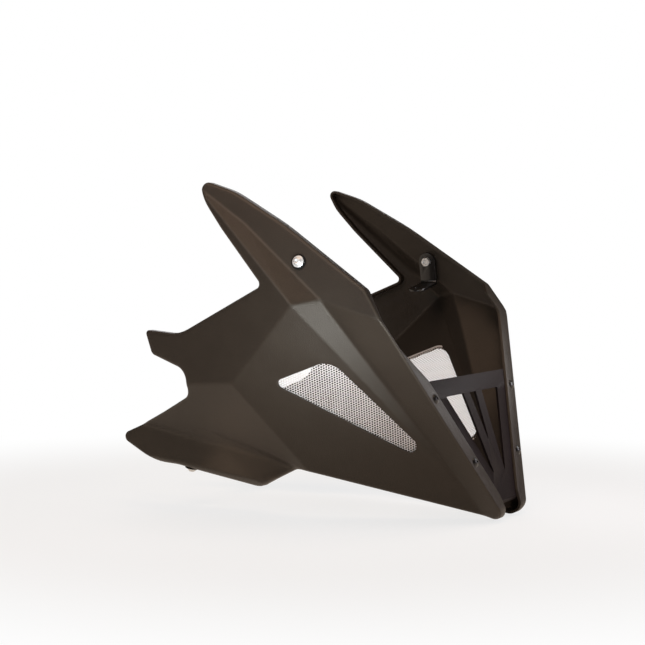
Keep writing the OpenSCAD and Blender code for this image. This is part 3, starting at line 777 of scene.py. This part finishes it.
# ---- Arm and rear fixings ----
# Bright flanged screws pass through a steel sleeve in a rubber that snaps into the moulding.
# Each clamps a black steel bracket with a welded nut, and the bracket reaches inwards.
# The arm's bracket is folded. The one above the bottom lip's tab is a flat strip.


def soft_rubber(name):
    """Black rubber with a dull, faintly dusty skin."""
    finish, surface, place = new_finish(name)
    fine, cloud = noise(place, 1500.0, 3.0), noise(place, 150.0, 2.0)
    tone = (0.5 * cloud + 0.5 * fine).between((0.004, 0.004, 0.004, 1), (0.010, 0.0095, 0.009, 1))
    feed(surface, Base_Color=tone, Roughness=0.72 + 0.15 * cloud,
         Normal=bumps(fine, 0.4, 0.0002), Specular_IOR_Level=0.2)
    return finish


rubber_finish = soft_rubber("rubber_finish")
zinc_finish = bright_metal("zinc_steel_finish", (0.92, 0.93, 0.94), rough=0.46, scale=1500.0,
                           metal=0.75)
bracket_finish = blackened_steel("bracket_steel_finish")
rubber_r, rim, round_r, groove_edge, sleeve_r = 8.5, 2.0, 0.8, 0.25, 4.2
screw_past_wall = 9.0
arm_normal = -Vector((arm_panel[0], 1, arm_panel[1])).normalized()
arm_along = Vector((1, -arm_panel[0], 0)).normalized()
arm_seat = Vector(on_panel(arm_panel, *arm_hole_at))
arm_seat.y = -arm_seat.y
(edge_x, edge_z), (edge_fore_x, edge_fore_z) = belly_edge
edge_fall = math.atan2(edge_z - edge_fore_z, edge_fore_x - edge_x)
bevel_panel = plane_through(bevel_mid, bevel_fore, drop_mid)
rear_z = edge_z - (rear_hole_x - edge_x) * math.tan(edge_fall)
rear_half = float(bevel_panel @ (rear_hole_x, rear_z, 1)) - rear_hole_inset
# Each fixing of the right side: its seat, its three directions, and the wall along its screw
fixings = (
    ("arm", arm_seat, arm_along, arm_normal.cross(arm_along), arm_normal,
     wall / Vector((arm_panel[0], 1, arm_panel[1])).length),
    ("rear", Vector((rear_hole_x, -rear_half, rear_z)),
     Vector((math.cos(edge_fall), 0, -math.sin(edge_fall))), Vector((0, -1, 0)),
     Vector((-math.sin(edge_fall), 0, -math.cos(edge_fall))), wall))


def bush_rows(thick):
    """Section of the rubber from its outer rim through the shell to its inner rim."""
    back, core = -thick - rim, rubber_r - round_r
    arc = [(round_r * math.sin(a), round_r * math.cos(a))
           for a in map(math.radians, (0, 30, 60, 90))]
    return [(sleeve_r, rim), *((core + s, rim - round_r + c) for s, c in arc),
            (rubber_r, groove_edge), (rubber_r - groove_edge, 0), (waist_r, 0),
            (waist_r, -thick), (rubber_r - groove_edge, -thick), (rubber_r, -thick - groove_edge),
            *((core + c, back + round_r - s) for s, c in arc), (sleeve_r, back), (sleeve_r, rim)]


for place_name, origin, *axes, thick in fixings:
    for side_name, side in sides:
        tag = place_name + "_%s_" + side_name
        flip = Vector((1, -side, 1))
        seat = origin * flip
        directions = [axis * flip for axis in axes]
        directions[0] *= -side
        screw = socket_screw(tag % "screw" + "_piece", head_d=10.4, head_h=3.3, socket=4.0,
                             thread=6.0, length=thick + rim + screw_past_wall,
                             brim_d=13.4, brim_h=1.1)
        screw.transform(Matrix.Translation((0, 0, rim * MM)))
        put_in_scene(screw.name, seated(screw, seat, *directions), zinc_finish,
                     tag % "screw")
        points, faces = turned(bush_rows(thick))
        bush = bpy.data.meshes.new(tag % "rubber" + "_piece")
        bush.from_pydata(points, [], faces)
        put_in_scene(bush.name, seated(bush, seat, *directions), rubber_finish,
                     tag % "rubber")
        for part, width, finish, slot in (("sleeve", 0.15, zinc_finish, "zinc_steel"),
                                          ("nut", 0.3, zinc_finish, "zinc_steel"),
                                          ("bracket", 0.5, bracket_finish, "bracket_steel")):
            node = tag % part
            put_in_scene(node + "_piece", softened(node, width), finish, node)

# ---- Floor, lights and camera ----
# A plain pale floor under a plain white surrounding, lit by soft studio lamps.
# The camera stands at the photograph's low three-quarter view.

view_target = Vector((-10.3, 0, 217.1)) * MM
view_turn, view_pitch, view_distance = math.radians(27), math.radians(2.4), 2.07
view_dir = Vector((-math.sin(view_turn) * math.cos(view_pitch),
                   math.cos(view_turn) * math.cos(view_pitch), -math.sin(view_pitch)))
camera = bpy.data.objects.new("photo_camera", bpy.data.cameras.new("photo_camera"))
camera.data.sensor_width = 36
camera.data.lens = 96.17
camera.location = view_target - view_dir * view_distance
camera.rotation_euler = view_dir.to_track_quat("-Z", "Y").to_euler()
bpy.context.scene.collection.objects.link(camera)
bpy.context.scene.camera = camera

floor_half, floor_low = 8, -0.002
floor_mesh = bpy.data.meshes.new("studio_floor")
floor_mesh.from_pydata([(x * floor_half, y * floor_half, floor_low)
                        for x, y in ((-1, -1), (1, -1), (1, 1), (-1, 1))], [], [(0, 1, 2, 3)])
floor = bpy.data.objects.new("studio_floor", floor_mesh)
bpy.context.scene.collection.objects.link(floor)


def pale_ground():
    """Pale floor that the camera sees near white and reflections see as a warm glow, and that keeps
    shadows.
    """
    finish, surface, place = new_finish("floor_finish")
    cloud = noise(place, 1.5, 2.0)
    feed(surface, Base_Color=cloud.between((0.86, 0.86, 0.86, 1), (0.90, 0.90, 0.90, 1)),
         Roughness=0.9)
    far = place.node("VectorMath", {"operation": "LENGTH"}, {0: place}, "Value")
    # From 0.40 to 0.90 metres away from the middle, less and less of the shadow shows
    fade = place.node("MapRange", {"interpolation_type": "SMOOTHSTEP"},
                      {0: far, 1: 0.40, 2: 0.9, 3: 0.76, 4: 1.0})
    seen = place.node("LightPath", out="Is Camera Ray")
    mirrored = place.node("LightPath", out="Is Glossy Ray")
    # Reflections see a warm glow that stands in for light bounced up from the floor; the camera
    # sees white
    glow = seen.between((0.95, 0.80, 0.66, 1), (1, 1, 1, 1))
    white = place.node("Emission", None, {"Color": glow, "Strength": 1.0})
    mixed = place.node("MixShader", None, {0: place.math("MAXIMUM", seen, mirrored) * fade,
                                           1: Tone(place.tree, surface.outputs[0]), 2: white})
    fill(place.tree.nodes["Material Output"].inputs["Surface"], mixed)
    return finish


floor_mesh.materials.append(pale_ground())

world = bpy.data.worlds.new("studio_world")
bpy.context.scene.world = world
world.use_nodes = True
sky = Tone(world.node_tree)
ambient = sky.tree.nodes["Background"]
feed(ambient, Color=(1.0, 0.94, 0.84, 1), Strength=0.10)
shown = sky.node("Background", None, {"Color": (1, 1, 1, 1), "Strength": 1.0})
chosen = sky.node("MixShader", None, {0: sky.node("LightPath", out="Is Camera Ray"),
                                      1: Tone(sky.tree, ambient.outputs[0]), 2: shown})
fill(sky.tree.nodes["World Output"].inputs["Surface"], chosen)

middle = (0, 0, 0.2)


def studio_lamp(name, place, aim, power, size, tint, spread=180):
    """A square soft lamp, aimed at a point."""
    lamp = bpy.data.lights.new(name, "AREA")
    lamp.energy, lamp.size, lamp.color = power, size, tint
    lamp.spread = math.radians(spread)
    holder = bpy.data.objects.new(name, lamp)
    holder.location = place
    holder.rotation_euler = (Vector(aim) - Vector(place)).to_track_quat("-Z", "Y").to_euler()
    holder.visible_camera = False
    bpy.context.scene.collection.objects.link(holder)


studio_lamp("strip_lamp", (0.254, -0.455, 0.095), (0.075, -0.18, 0.235), 0.27, 0.14,
            (0.85, 0.95, 1.0), spread=62)
studio_lamp("flange_lamp", (0.31, 0.20, 0.24), middle, 0.18, 0.10, (0.97, 0.98, 1.0))
studio_lamp("front_lamp", (0.65, 0.237, 0.297), middle, 0.95, 0.25, (1.0, 0.92, 1.0))
studio_lamp("side_lamp", (-0.45, -1.28, 0.75), middle, 1.45, 0.5, (0.90, 0.94, 1.0))
studio_lamp("top_lamp", (-0.086, -0.487, 0.695), middle, 0.95, 0.25, (1.0, 0.75, 0.61))
studio_lamp("sky_lamp", (0.3, 0.0, 2.4), middle, 17.0, 1.6, (1.0, 0.74, 0.56))
studio_lamp("left_lamp", (-0.9, 1.5, 1.0), middle, 7.0, 1.0, (0.98, 0.97, 1.0))
studio_lamp("bounce_lamp", (-0.13, -0.165, 0.022), (-0.06, -0.12, 0.05), 0.005, 0.04,
            (1.0, 0.74, 0.55), spread=100)
bpy.context.scene.view_settings.view_transform = "Standard"
